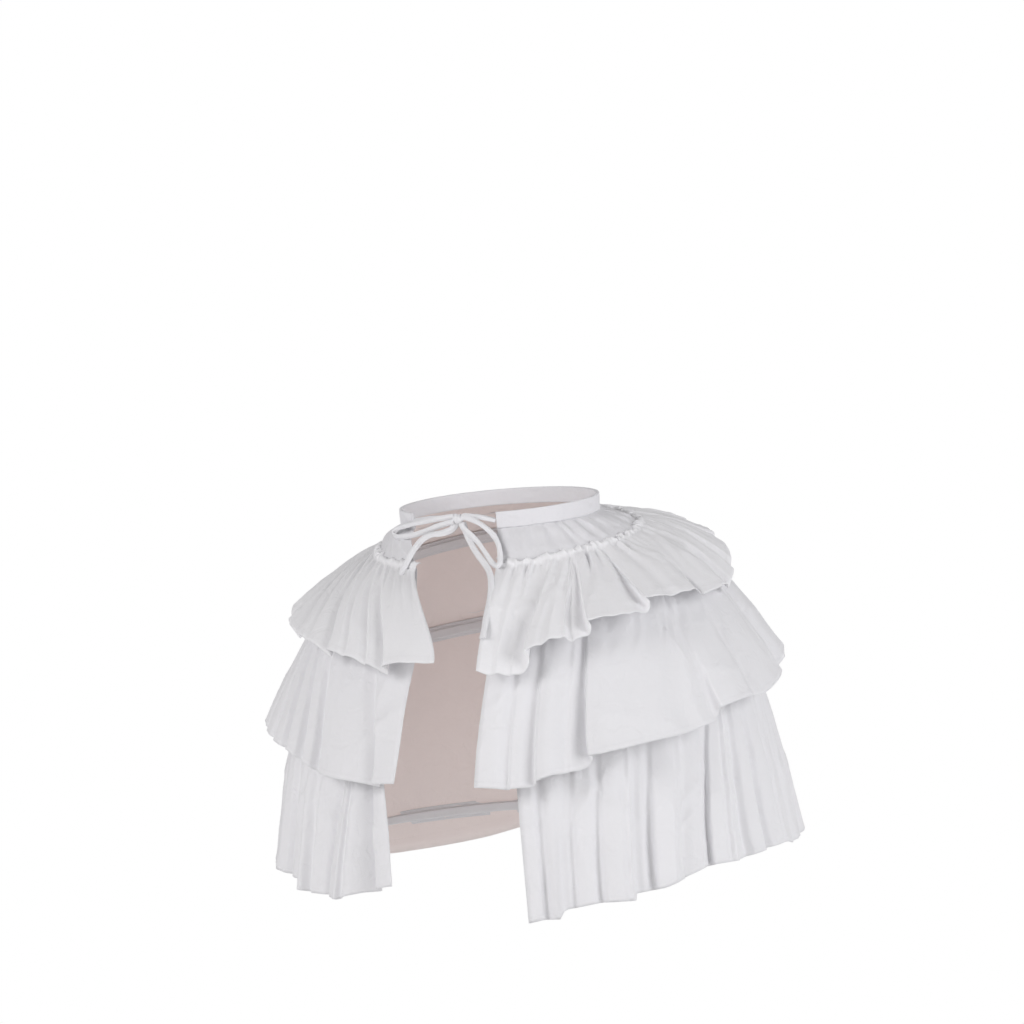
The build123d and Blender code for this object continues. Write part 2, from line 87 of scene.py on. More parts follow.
MM = 0.001
LATTICE_COLUMNS, LATTICE_ROWS = 96, 88        # steps after which the random heights repeat
UNIT_HALF = 0.5


def grain(across, down, seed):
    """Smooth uneven heights from -1 to 1, with one random value at each whole step of both coordinates."""
    lattice = np.random.default_rng(seed).uniform(-1, 1, (LATTICE_COLUMNS + 1, LATTICE_ROWS + 1))
    column, row = np.floor(across).astype(int), np.floor(down).astype(int)
    right, below = across - column, down - row
    right, below = right * right * (3 - 2 * right), below * below * (3 - 2 * below)
    column, row = column % LATTICE_COLUMNS, row % LATTICE_ROWS
    upper = lattice[column, row] * (1 - right) + lattice[column + 1, row] * right
    lower = lattice[column, row + 1] * (1 - right) + lattice[column + 1, row + 1] * right
    return upper * (1 - below) + lower * below


def cloth_mesh(name, across, down, flat, shape):
    """A sheet whose grid is bent by a function of the shares along and down it; its UVs are in metres.

    The function gives the points and the share along the flat cloth of each of them.
    """
    bm = bmesh.new()
    bmesh.ops.create_grid(bm, x_segments=across, y_segments=down, size=UNIT_HALF)
    mesh = bpy.data.meshes.new(name)
    bm.to_mesh(mesh)
    bm.free()
    points = np.empty(len(mesh.vertices) * 3, np.float32)
    mesh.vertices.foreach_get("co", points)
    points = points.reshape(-1, 3).astype(float)
    fall = UNIT_HALF - points[:, 1]
    bent, share = shape(points[:, 0] + UNIT_HALF, fall)
    mesh.vertices.foreach_set("co", bent.astype(np.float32).ravel())
    corners = np.empty(len(mesh.loops), np.int32)
    mesh.loops.foreach_get("vertex_index", corners)
    uv = np.stack([share * flat[0], (1 - fall) * flat[1]], axis=-1)[corners]
    mesh.uv_layers.new(name="UVMap").data.foreach_set("uv", uv.astype(np.float32).ravel())
    mesh.shade_smooth()
    mesh.update()
    piece = bpy.data.objects.new(name, mesh)
    bpy.context.scene.collection.objects.link(piece)
    return piece


def thicken(piece, thickness, offset):
    """Gives a sheet the thickness of its cloth."""
    wall = piece.modifiers.new("cloth", "SOLIDIFY")
    wall.thickness = thickness
    wall.offset = offset
    wall.use_even_offset = False
    return piece


# Folds of the tiers. Each valley: angle at the hem, depth in mm, reach to its front and back side in
# degrees and how far its foot is pushed sideways in mm. A last number is the share of the fall where
# it starts, if that is below the seam.

UPPER_VALLEYS = [
    (17.4, 3, 1.2, 1.4, 1), (20.3, 6, 1.8, 2.2, 4), (22.4, 5, 2.4, 1.4, 0), (24, 10, 2, 2, 12),
    (30, 3, 2, 2, 0), (34, 6, 2.4, 2.4, 4), (37.4, 5, 2.2, 1.6, 0), (39.8, 11, 2, 2, 13),
    (48, 2, 3, 3, 0), (56, 13, 2.1, 2.1, 17), (66, 2.5, 4, 4, 0), (77.5, 9, 2.6, 2.6, 9, 0.4),
    (98, 9, 4, 4, 6), (112, 6, 4, 4, 6), (128, 8, 4, 4, 8), (143, 6, 4, 4, 4), (160, 7.5, 4, 4, 9),
    (174, 6, 4, 4, 5), (190, 8, 4, 4, -6), (205, 6, 4, 4, -4), (222, 7.5, 4, 4, -7), (238, 6, 4, 4, -4),
    (255, 7.5, 4, 4, 4), (273, 9, 3.6, 3.6, 6), (292, 8, 3, 3, 7), (301, 4, 2.4, 2.4, 2),
    (310, 9, 2.4, 2.4, 9), (319, 3, 2, 2, 1), (328, 10, 2.2, 2.2, 11), (336, 4, 2, 2, 2),
    (342.5, 6, 1.8, 2, 4), (347.6, 10, 2, 2, 12)]
MIDDLE_VALLEYS = [
    (17.6, 6, 1.6, 1.8, 4), (22.6, 9, 1.8, 2, 8), (30.6, 6, 4.5, 2.6, 0), (33.6, 14, 2, 2, 17),
    (59, 3, 4, 4, 0, 0.2), (66.6, 6, 2, 2, 7, 0.55), (81, 5, 3, 3, 2, 0.2), (103, 9, 4, 4, 6),
    (121, 8, 4, 4, 5), (138, 11, 4, 4, 7), (156, 8, 4, 4, 4), (171, 10, 4, 4, 6), (189, 10, 4, 4, -6),
    (206, 8, 4, 4, -4), (224, 11, 4, 4, -7), (241, 8, 4, 4, -4), (258, 9, 4, 4, 4),
    (278, 9, 3.6, 3.6, 5), (300, 7, 2.6, 2.6, 4), (309, 8, 2, 2, -3), (317, 11, 2.2, 2.2, -4),
    (324.5, 11, 2.2, 1.8, -4), (331, 13, 2.4, 2, -5), (347.2, 11, 2, 2, 13)]
LOWER_VALLEYS = [
    (23.7, 7, 1.2, 1.4, 1), (29.5, 4, 1.1, 1.1, 1), (34.5, 8, 1.5, 1.6, 3), (40.4, 4, 1.2, 1.2, 1),
    (45.7, 9, 1.6, 1.6, 6), (52, 4, 1.2, 1.2, 0), (59.7, 11, 1.6, 1.6, 9), (65.4, 4, 1.3, 1.3, 1),
    (71, 7, 1.7, 1.9, 2), (79, 7, 2, 2, 2), (88, 7, 2.4, 2.4, -3), (97, 5.5, 3, 3, -3),
    (106, 7, 3, 3, -4), (116, 5.5, 3, 3, 3), (126, 7, 3, 3, -5), (137, 5.5, 3, 3, 3),
    (147, 7, 3, 3, -4), (157, 5.5, 3, 3, 2), (167, 7, 3, 3, -4), (177, 5.5, 3, 3, 4), (187, 7, 3, 3, 4),
    (198, 5.5, 3, 3, -3), (208, 7, 3, 3, 5), (219, 5.5, 3, 3, -3), (229, 7, 3, 3, 5),
    (240, 5.5, 3, 3, 3), (251, 7, 3, 3, 5), (262, 5.5, 3, 3, -3), (272, 6.5, 3, 3, 5),
    (283, 5.5, 3, 3, 4), (293, 8, 2.4, 2.4, 4), (302, 7, 1.8, 1.8, -2), (314, 10, 2, 1.8, -3),
    (325, 10, 2, 1.6, -4), (331.9, 13, 2.2, 1.9, -3), (338.6, 8, 1.7, 1.4, -3),
    (345.4, 13, 1.9, 1.9, 6)]

# Lobes that swing out to a corner and then fall back: angle at the hem and how far out, in mm
UPPER_SWING = [
    (14, 1), (18, 3), (24, 0), (40, 0), (54, 4), (58, 1), (74, 4), (79, -3), (90, 6), (98, 2), (112, 3),
    (125, 5), (260, 5), (280, 2), (363, 2)]
MIDDLE_SWING = [
    (12, 1), (16, 3), (20, 1), (26, 4), (33, 0), (38, 3), (62, 5), (68, 0), (78, 4), (84, 0), (95, 4),
    (360, 3)]
LOWER_SWING = [
    (20, 1), (22.6, 3), (24.8, 2), (26.6, 9), (27.4, -8), (30, -5), (33.4, 0), (36, 0), (38, 4),
    (41.5, 9), (42.3, -8), (44.5, -3), (47, 1), (50, 4), (52.5, 8), (53.4, -7), (56, -2), (59, 2),
    (61, 0), (64, 4), (67.2, 7), (68.1, -5), (72, 1), (76.5, 6), (77.5, -4), (82, 1), (86, 2), (92, -3),
    (100, -2), (112, 4), (265, 5), (280, 3), (290, 3), (295, -8), (296, 6), (302, 2), (307, -6),
    (308.2, 8), (313, 4), (318, -2), (320.8, -8), (321.8, 11), (326, 6), (330, -2), (333.5, 5),
    (337, 13), (341, 12), (344, 0), (347, 0), (350, 5), (352.4, 4)]

# How far the hem hangs above or below its ring: angle and height in mm
UPPER_HANG = [
    (14, -18), (16.3, -23), (19.7, -19), (23.2, -15), (24.4, 1), (29.8, 4), (34.3, 12), (37.8, 5),
    (39.4, 11), (40.2, 20), (46, 14), (52.8, 8), (55.4, 11), (56.6, 25), (62.7, 13), (72.3, 3),
    (76.3, 5), (80, -6), (87, -18), (97, -25), (112, -26), (124, -16), (145, -9), (180, -7), (230, -8),
    (270, -10), (292, -4), (300, 0), (312, 4), (328, 2), (344, -4), (347.6, -9), (355, -7), (364, -7)]
MIDDLE_HANG = [
    (12, -7), (18, -11), (21.6, -11), (23, -8), (27.7, -3), (32.5, -1), (33.2, 3), (34.2, 13), (38, 8),
    (49, 5.5), (55.5, 2), (65.6, 1), (67.6, 14), (75.4, 8.5), (86, -4), (97, -5), (112, 0), (290, 0),
    (305, 9), (320, 11), (329.7, 2.4), (337.6, -2.8), (346.7, -2.3), (355, -1.5)]
LOWER_HANG = [
    (20, -32), (23.2, -29), (26.8, -30), (27.2, -20), (34.6, -16), (41.8, -19), (42.2, -11),
    (48.4, -10), (52.6, -4), (59.7, 5), (67, 2), (78, 4), (88, 1), (95, -8), (112, -12), (170, -16),
    (190, -23), (210, -34), (226, -43), (247, -47), (262, -36), (275, -21), (285, -11), (296, 0),
    (309, -1), (320.5, -2), (322, -12), (326, -12), (332, -10), (337.6, -12), (345.4, 3), (352, 10)]

# The same for the seam of the upper tier and for the hem of the bell
YOKE_HANG = [(0, 0), (55, 0), (80, -3), (105, -5), (140, -5), (220, -5), (260, -3), (292, 0), (360, 0)]
BELL_HANG = [
    (22, 0), (60, 8), (180, 8), (200, -6), (209, -16), (218, -26), (226, -30), (235, -32), (247, -31),
    (262, -20), (275, -6), (285, 0), (305, 6), (348, 4)]
LEVEL = [(0, 0), (360, 0)]

# Where the lines of the folds start at the seam: angles at the hem and at the seam
UPPER_PINS = [
    (14, 17), (20.3, 30), (24, 38), (34, 46.5), (39.8, 48), (56, 61.5), (77.5, 84), (98, 101),
    (180, 180), (260, 240), (292, 262), (310, 276), (328, 293), (347.5, 318), (364, 339.5)]
MIDDLE_PINS = [
    (12, 17), (17.5, 24), (22.5, 31), (33.6, 44), (58, 67), (66.6, 73), (95, 97), (180, 180),
    (278, 268), (300, 284), (317, 296), (325, 304), (331, 313), (347, 334), (355, 354)]
LOWER_PINS = [
    (20, 20), (23.7, 25), (26.8, 30), (34.5, 40), (45.7, 53), (59.7, 73), (71, 81), (90, 96),
    (180, 180), (303, 298), (322, 320), (332, 337), (345.4, 342), (352.4, 346)]

# Creases that cross the folds: angle and share of the fall at both ends, and height in mm
MIDDLE_CREASES = [
    (14, 0.55, 17, 0.42, 1.6), (353, 0.55, 347, 0.72, 2.2), (352, 0.3, 349, 0.5, 1.6),
    (60, 0.35, 64, 0.6, 1.4)]
LOWER_CREASES = [
    (27, 0.2, 33, 0.36, 2.6), (33, 0.36, 40, 0.48, 2.2), (34, 0.36, 28.6, 0.54, 2.6),
    (59, 0.46, 51, 0.64, 2.4), (58, 0.62, 51.5, 0.74, 2.0), (20, 0.47, 24, 0.46, 2.2),
    (30, 0.62, 33, 0.86, 1.4), (347, 0.3, 338, 0.5, 2.0), (345, 0.62, 351, 0.8, 2.2),
    (350, 0.5, 346, 0.66, 2.0), (327, 0.4, 333, 0.62, 1.8)]
CREASE_REACH = 0.0045
CREASE_SHARE = 1.9
CREASE_TAPER_SHARE = 0.15

FOLD_DRIFT_POWER = 1.5        # how early the lines of the folds reach their angle at the hem
FOLD_DEPTH_SHARE = 1.45
BROAD_DIP_SHARE = 0.35        # of each valley's depth that is a wide hollow round it
BROAD_DIP_REACH = 3.6
FOLD_COLUMN_WEIGHT = 5.0      # how much closer the grid's columns lie in the folds
FOLD_STEP_COUNT = 8000
SIDE_POWER = 1.3              # how late the foot of a fold is pushed aside
SWING_BLUR_DEG = 0.8
HANG_BLUR_DEG = 0.3
SEAM_BLUR_DEG = 4
BLUR_STEPS = (-1, -0.5, 0, 0.5, 1)
BLUR_WEIGHTS = (1, 2, 3, 2, 1)


def dips(angle, opened, fall, valleys):
    """How far the cloth lies behind its lobes at each angle, and how far it is pushed sideways."""
    back, side = np.zeros_like(angle), np.zeros_like(angle)
    for at, depth_mm, front_reach, back_reach, push_mm, *late in valleys:
        gap = angle - at
        reach = np.where(gap < 0, front_reach, back_reach)
        dip = 0.5 + 0.5 * np.cos(pi * np.clip(np.abs(gap) / reach, 0, 1))
        broad = 0.5 + 0.5 * np.cos(pi * np.clip(np.abs(gap) / (reach * BROAD_DIP_REACH), 0, 1))
        grown = np.clip((fall - late[0]) / (1 - late[0]), 0, 1) if late else opened
        both = dip * (1 - BROAD_DIP_SHARE) + broad * BROAD_DIP_SHARE
        back += FOLD_DEPTH_SHARE * grown * depth_mm * MM * both
        side += grown ** SIDE_POWER * push_mm * MM * dip
    return back, side


def blurred(angle, table, blur_deg):
    """The values of a table in mm along the hem, with its corners a little rounded, in metres."""
    at, value = np.array(table, float).T
    nearby = [np.interp(angle + blur_deg * step, at, value) for step in BLUR_STEPS]
    return MM * np.average(nearby, axis=0, weights=BLUR_WEIGHTS)


THREAD_REACH = 0.0022         # how far from the thread the pleats are pressed flat
THREAD_SHARE = 0.6
FINE_REACH = 0.015
FINE_SHARE = 0.6
DRIFT_STEPS = (5, 1.7, 7, 3)  # pleats to each step of uneven drift, fine drift, wide drift and size
DRIFT_PER_METRE = (12, 9, 20)


def gathers(along, distance, count, reach, size, seed):
    """Fine pleats that the gathering thread draws up at a seam and that run out below it."""
    broad_step, small_step, wide_step, size_step = DRIFT_STEPS
    broad_rate, small_rate, size_rate = DRIFT_PER_METRE
    drift = 1.6 * grain(along * count / broad_step, distance * broad_rate, seed)
    drift = drift + 0.5 * grain(along * count / small_step, distance * small_rate, seed + 1)
    fine = np.sin(2 * pi * along * count + 3.4 * drift)
    wander = 1.6 * grain(along * count / wide_step, along * 0, seed + 2)
    wide = np.sin(pi * along * count + 3.9 * drift + wander)
    uneven = 0.6 + 0.45 * grain(along * count / size_step, distance * size_rate, seed + 3)
    stitched = 1 - THREAD_SHARE * np.exp(-(distance / THREAD_REACH) ** 2)
    pleats = FINE_SHARE * fine * np.exp(-distance / FINE_REACH) + wide * np.exp(-distance / reach)
    return size * stitched * uneven * pleats


def ridges(angle, fall, lines, degree_length, fall_length):
    """Sharp raised creases along straight lines that cross the cloth."""
    scale = np.array([degree_length, fall_length])
    place = np.stack([angle, fall], axis=-1) * scale
    total = np.zeros_like(angle)
    for angle_from, fall_from, angle_to, fall_to, height_mm in lines:
        start = np.array([angle_from, fall_from]) * scale
        step = np.array([angle_to, fall_to]) * scale - start
        along = np.clip((place - start) @ step / (step @ step), 0, 1)
        away = np.linalg.norm(place - start - along[:, None] * step, axis=1)
        tapered = np.sin(pi * np.clip(along, CREASE_TAPER_SHARE, 1 - CREASE_TAPER_SHARE))
        total += CREASE_SHARE * height_mm * MM * tapered * np.exp(-away / CREASE_REACH)
    return total


def fold_columns(hem, valleys):
    """Angles along a hem and the share of the columns up to each; columns lie closer in the folds."""
    angle = np.linspace(hem.left, hem.right, FOLD_STEP_COUNT)
    weight = np.ones_like(angle)
    for at, depth_mm, front_reach, back_reach, *push_mm in valleys:
        weight += FOLD_COLUMN_WEIGHT * np.exp(-((angle - at) / max(front_reach, back_reach)) ** 2)
    total = np.cumsum(weight)
    return angle, (total - total[0]) / (total[-1] - total[0])


def slant(upper, lower):
    """The length of the wall between two rings and its outward and upward share, square to the wall."""
    spread, drop = lower.half_width - upper.half_width, upper.height - lower.height
    length = hypot(spread, drop)
    return length, drop / length, spread / length


SOFT_REST = 0.003             # how gradually a tier comes to lie on the seam under it


def kept_above(points, half_width, rings, clearances):
    """Heights of points that are not let down through the wall that the rings under them make."""
    widths = [level.half_width for level in rings]
    height, tilt, shift = (np.interp(half_width, widths, [vars(level)[name] for level in rings])
                           for name in ("height", "tilt", "shift_back"))
    rest = height + tilt * (points[:, 1] - shift) + np.interp(half_width, widths, clearances)
    gap = points[:, 2] - rest
    return rest + 0.5 * (gap + np.sqrt(gap ** 2 + SOFT_REST ** 2))


# Small unevenness of a tier; the steps are metres along the cloth and down it
CRUMPLE_HEIGHT = 0.0009
CRUMPLE_STEPS = (0.035, 0.05)
CREASE_STEPS = (0.06, 0.09, 0.07, 0.15)
CREASE_POWER = 6
CREASE_MEAN_SHARE = 0.27
RIPPLE_HEIGHT = 0.0004
RIPPLE_STEPS = (0.011, 0.03)
RIPPLE_SLANT_PER_METRE = 30
HEADER_SUNK = 0.0012          # how deep the header's turned edge is let into the yoke
HEADER_LIFT = 0.0008
HEADER_TURN_POWER = 6


def tier(name, above_ring, seam, hem, folds, look):
    """A gathered tier: a shirred frill above its seam, then folds that open out down to its hem."""
    fall_length, outward, upward = slant(seam, hem)
    yoke_length, yoke_outward, yoke_upward = slant(above_ring, seam)
    frill_rows = look.frill_rows / look.rows
    pin_hem, pin_seam = np.array(folds.pins, float).T
    column_angle, column_share = fold_columns(hem, folds.valleys)

    def shape(along, down):
        at_hem = np.interp(along, column_share, column_angle)
        share = (at_hem - hem.left) / (hem.right - hem.left)
        fall = np.clip((down - frill_rows) / (1 - frill_rows), 0, 1)
        frill = np.clip(1 - down / frill_rows, 0, 1)
        at_seam = np.interp(at_hem, pin_hem, pin_seam)
        along_seam = (at_seam - seam.left) / (seam.right - seam.left)
        drifted = 1 - (1 - fall) ** FOLD_DRIFT_POWER
        opened = fall ** look.open_power
        back, side = dips(at_hem, opened, fall, folds.valleys)
        distance = fall * fall_length
        fine = gathers(along_seam, distance, look.gather_count, look.gather_reach, look.gather, look.seed)
        run = share * look.flat[0]
        along_step, down_step = CRUMPLE_STEPS
        crumple = CRUMPLE_HEIGHT * grain(run / along_step, distance / down_step, look.seed + 5)
        along_step, lean_step, down_step, cross_step = CREASE_STEPS
        crease = 1 - np.abs(grain(run / along_step + distance / lean_step,
                                  distance / down_step - run / cross_step, look.seed + 7))
        crumple += look.crease * (crease ** CREASE_POWER - CREASE_MEAN_SHARE)
        crumple += ridges(at_hem, fall, folds.creases, hem.half_width * pi / 180, fall_length)
        along_step, down_step = RIPPLE_STEPS
        crumple += RIPPLE_HEIGHT * grain(run / along_step + distance * RIPPLE_SLANT_PER_METRE,
                                         distance / down_step, look.seed + 6)
        height = blurred(at_hem, folds.swing, SWING_BLUR_DEG) * opened - back + fine
        height += crumple * np.minimum(1, fall * 4) + look.bulge * np.sin(pi * fall)
        level = between(seam, hem, fall)
        angle = at_seam + drifted * (at_hem - at_seam) + np.degrees(side / level.half_width)
        sunk = blurred(at_seam, folds.seam_hang, SEAM_BLUR_DEG)
        hang = blurred(at_hem, folds.hang, HANG_BLUR_DEG) * fall ** look.hang_power + sunk * (1 - fall)
        out = look.seat + height * outward
        skirt = places(level, angle, out, height * upward + hang)
        if folds.rests:
            skirt[:, 2] = kept_above(skirt, level.half_width + out, *folds.rests)
        puckers = along_seam * look.pucker_count
        phase = 2 * pi * along_seam * look.pucker_count + 2.4 * grain(puckers / 2.5, frill, look.seed + 8)
        plump = 0.6 + 0.55 * grain(puckers / 1.7, frill * 0, look.seed + 9)
        pucker = look.pucker * np.sin(phase) * plump * frill ** 0.7
        pucker = pucker + look.pucker * 0.4 * np.sin(pi * frill ** 0.8)
        edge = 1 + 0.42 * grain(puckers * 1.3, frill * 0, look.seed + 10)
        header = between(seam, above_ring, frill * edge * look.frill / yoke_length)
        lean = np.degrees(look.pucker * 0.9 * np.cos(phase) * frill / seam.half_width)
        rolled = np.sqrt(np.clip(1 - frill ** HEADER_TURN_POWER, 0, 1))
        ruched = (pucker + fine * 0.8 + look.seat * (1 - 0.4 * frill)) * rolled - HEADER_SUNK * (1 - rolled)
        frilled = places(header, at_seam + lean, ruched * yoke_outward + HEADER_LIFT,
                         ruched * yoke_upward + sunk * (1 - frill * look.frill / yoke_length))
        return np.where((frill > 0)[:, None], frilled, skirt), share

    piece = cloth_mesh(name, look.columns, look.rows, look.flat, shape)
    return thicken(piece, CLOTH_THICKNESS, -1)


TIER_LOOKS = {
    "upper": SimpleNamespace(
        columns=920, rows=50, frill_rows=9, frill=0.0085, flat=(1.85, 0.12), seat=0.0030, bulge=0.004,
        hang_power=2.0, open_power=0.75, gather_count=105, gather_reach=0.05, gather=0.0038,
        pucker_count=84, pucker=0.0027, crease=0.0012, seed=11),
    "middle": SimpleNamespace(
        columns=950, rows=50, frill_rows=3, frill=0.003, flat=(2.1, 0.172), seat=0.003, bulge=0.004,
        hang_power=1.2, open_power=0.7, gather_count=125, gather_reach=0.045, gather=0.0028,
        pucker_count=90, pucker=0.0006, crease=0.0012, seed=31),
    "lower": SimpleNamespace(
        columns=965, rows=50, frill_rows=3, frill=0.004, flat=(2.3, 0.222), seat=0.003, bulge=0.003,
        hang_power=1.0, open_power=0.6, gather_count=150, gather_reach=0.06, gather=0.0036,
        pucker_count=110, pucker=0.0006, crease=0.0016, seed=51),
}
# The upper tier lies on these rings, with a clearance at each
UPPER_RESTS = ((UPPER_SEAM, MIDDLE_SEAM, MIDDLE_HEM), (-0.003, 0.0108, 0.0))
UPPER_FOLDS = SimpleNamespace(
    valleys=UPPER_VALLEYS, swing=UPPER_SWING, hang=UPPER_HANG, seam_hang=YOKE_HANG,
    pins=UPPER_PINS, creases=[], rests=UPPER_RESTS)
MIDDLE_FOLDS = SimpleNamespace(
    valleys=MIDDLE_VALLEYS, swing=MIDDLE_SWING, hang=MIDDLE_HANG, seam_hang=LEVEL,
    pins=MIDDLE_PINS, creases=MIDDLE_CREASES, rests=None)
LOWER_FOLDS = SimpleNamespace(
    valleys=LOWER_VALLEYS, swing=LOWER_SWING, hang=LOWER_HANG, seam_hang=LEVEL,
    pins=LOWER_PINS, creases=LOWER_CREASES, rests=None)

upper_tier = tier("upper_tier", BAND_EDGE, UPPER_SEAM, UPPER_HEM, UPPER_FOLDS, TIER_LOOKS["upper"])
middle_tier = tier("middle_tier", UPPER_SEAM, MIDDLE_SEAM, MIDDLE_HEM, MIDDLE_FOLDS, TIER_LOOKS["middle"])
lower_tier = tier("lower_tier", MIDDLE_SEAM, LOWER_SEAM, LOWER_HEM, LOWER_FOLDS, TIER_LOOKS["lower"])


# Bell under the tiers, gathered into the waistband

BELL_RINGS = [WAIST, BAND_EDGE, UPPER_SEAM, MIDDLE_SEAM, LOWER_SEAM, BASE_HEM]
BELL_ROWS = [0.0, 0.05, 0.30, 0.44, 0.68, 1.0]
BELL_COLUMNS, BELL_ROW_COUNT = 640, 74
BELL_FLAT = (1.75, 0.49)
YOKE_LENGTH = 0.045
YOKE_GATHERS = 62
YOKE_GATHER_REACH = 0.034
YOKE_GATHER = 0.0026
YOKE_TUCKS = 30
YOKE_PUFF, YOKE_TUCK, YOKE_LUMP = 0.0024, 0.0019, 0.0030
PUFF_END_SHARE = 0.84         # of the yoke, so that the header of the upper tier lies on it
BELL_WAVE, BELL_RIPPLE = 0.0012, 0.0005
PLAIN_SHARE = 0.1
DRAWN_IN = 0.0022             # how far the cloth is drawn in where it goes into the band
BAND_COVER = 0.0015           # how far its top edge lies below the band's


def bell_shape(along, down):
    """Plain cloth from ring to ring, with the gathers of the yoke under the band."""
    level = SimpleNamespace(**{name: np.interp(down, BELL_ROWS, [vars(place)[name] for place in BELL_RINGS])
                               for name in vars(WAIST)})
    yoke = np.clip((down - BELL_ROWS[1]) / (BELL_ROWS[2] - BELL_ROWS[1]), 0, 1)
    below_band = yoke * YOKE_LENGTH
    fine = gathers(along, below_band, YOKE_GATHERS, YOKE_GATHER_REACH, YOKE_GATHER, 71) * (yoke > 0)
    tucks = np.sin(2 * pi * along * YOKE_TUCKS + 2.6 * grain(along * 17, yoke * 1.2, 72))
    puff = YOKE_PUFF + YOKE_TUCK * tucks + YOKE_LUMP * grain(along * 44, yoke * 2.2, 73)
    puff = np.sin(pi * np.clip(yoke / PUFF_END_SHARE, 0, 1)) * puff
    plain = np.clip((down - BELL_ROWS[3]) / PLAIN_SHARE, 0, 1)
    wave = BELL_WAVE * grain(along * 24, down * 5, 74)
    ripple = BELL_RIPPLE * grain(along * 70, down * 12, 75)
    uneven = plain * (wave + ripple)
    under_band = np.clip(1 - down / BELL_ROWS[1], 0, 1)
    sunk = -DRAWN_IN * np.clip(1 - yoke * 5, 0, 1)
    angle = level.left + along * (level.right - level.left)
    hang = blurred(angle, YOKE_HANG, SEAM_BLUR_DEG) * np.interp(down, BELL_ROWS[1:4], [0, 1, 0])
    low = np.clip((down - BELL_ROWS[4]) / (1 - BELL_ROWS[4]), 0, 1)
    hang += blurred(angle, BELL_HANG, SEAM_BLUR_DEG) * low
    out = sunk + fine * (yoke < 1) + puff + uneven
    return places(level, angle, out, hang - BAND_COVER * under_band), along


bell = thicken(cloth_mesh("bell", BELL_COLUMNS, BELL_ROW_COUNT, BELL_FLAT, bell_shape), CLOTH_THICKNESS, -1)


# Bands: the waistband and the hoop channels

def band(name, columns, flat, upper, lower, left_deg, right_deg, outline, uneven):
    """A band along the wall between two rings.

    Its outline gives the share down the wall and the inset from it.
    """
    shares, insets = np.array(outline, float).T
    lengths = np.concatenate([[0], np.cumsum(np.hypot(np.diff(shares) * uneven.height, np.diff(insets)))])
    rows = lengths / lengths[-1]

    def shape(along, down):
        share, inset = np.interp(down, rows, shares), np.interp(down, rows, insets)
        level = between(upper, lower, share)
        angle = left_deg + along * (right_deg - left_deg)
        pucker = uneven.depth * grain(along * uneven.count, share * 3, uneven.seed)
        return places(level, angle, -inset + pucker, 0), along

    return cloth_mesh(name, columns, uneven.rows, flat, shape)


def rounded(corners, radius, height):
    """A closed outline of share and inset whose corners are cut off."""
    outline = []
    for (before, corner, after) in zip(corners[-1:] + corners[:-1], corners, corners[1:] + corners[:1]):
        here = Vector((corner[0] * height, corner[1]))
        for other in (before, after):
            step = Vector((other[0] * height, other[1])) - here
            spot = here + step.normalized() * radius
            outline.append((spot.x / height, spot.y))
    return outline


BAND_COLUMNS = 420
BAND_CUT = (0.60, 0.047)
BAND_HEIGHT = 0.019
BAND_CORNER = 0.0007
BAND_UNEVEN = SimpleNamespace(height=BAND_HEIGHT, depth=0.0005, count=46, seed=81, rows=40)
SAME_PLACE = 0.00001
band_corners = [(0, 0), (1, 0), (1, BAND_THICKNESS), (0, BAND_THICKNESS)]
band_outline = rounded(band_corners, BAND_CORNER, BAND_HEIGHT)
waistband = band("band", BAND_COLUMNS, BAND_CUT, WAIST, BAND_EDGE, WAIST.left, WAIST.right,
                 band_outline + band_outline[:1], BAND_UNEVEN)


def close_band(piece):
    """Joins the long edges of a band and closes its two ends."""
    bm = bmesh.new()
    bm.from_mesh(piece.data)
    bmesh.ops.remove_doubles(bm, verts=bm.verts, dist=SAME_PLACE)
    bmesh.ops.holes_fill(bm, edges=[edge for edge in bm.edges if edge.is_boundary])
    bmesh.ops.recalc_face_normals(bm, faces=bm.faces)
    bm.to_mesh(piece.data)
    bm.free()


close_band(waistband)

CASING_COLUMNS, CASING_ROWS = 340, 20
CASING_CUT = (1.7, 0.022)
CASING_HEIGHT = 0.0174
CASING_PUCKER = 0.0004
CASING_END_DEG = 2            # from the bell's front edges
EDGE_INSET, POCKET_INSET = 0.0022, 0.0054
CASING_OUTLINE = [(0, EDGE_INSET), (0.2, EDGE_INSET), (0.26, POCKET_INSET),
                  (0.74, POCKET_INSET), (0.8, EDGE_INSET), (1, EDGE_INSET)]
SEAM_GAP, HEM_GAP = 0.004, 0.003
LOWER_WALL = 0.230
CASINGS = {
    "upper": (MIDDLE_SEAM, LOWER_SEAM, SEAM_GAP),
    "middle": (LOWER_SEAM, BASE_HEM, SEAM_GAP),
    "lower": (LOWER_SEAM, BASE_HEM, LOWER_WALL - HEM_GAP - CASING_HEIGHT),
}


def casing(name, upper, lower, drop):
    """A tape channel sewn to the inside of the bell along both of its edges."""
    wall = upper.height - lower.height
    top, foot = between(upper, lower, drop / wall), between(upper, lower, (drop + CASING_HEIGHT) / wall)
    middle = between(top, foot, 0.5)
    uneven = SimpleNamespace(height=CASING_HEIGHT, depth=CASING_PUCKER, count=90, seed=91 + len(name),
                             rows=CASING_ROWS)
    piece = band(f"{name}_channel", CASING_COLUMNS, CASING_CUT, top, foot, middle.left + CASING_END_DEG,
                 middle.right - CASING_END_DEG, CASING_OUTLINE, uneven)
    return thicken(piece, CLOTH_THICKNESS, 1)


casings = {name: casing(name, *place) for name, place in CASINGS.items()}


# Ties and bow: flat tape along smooth routes

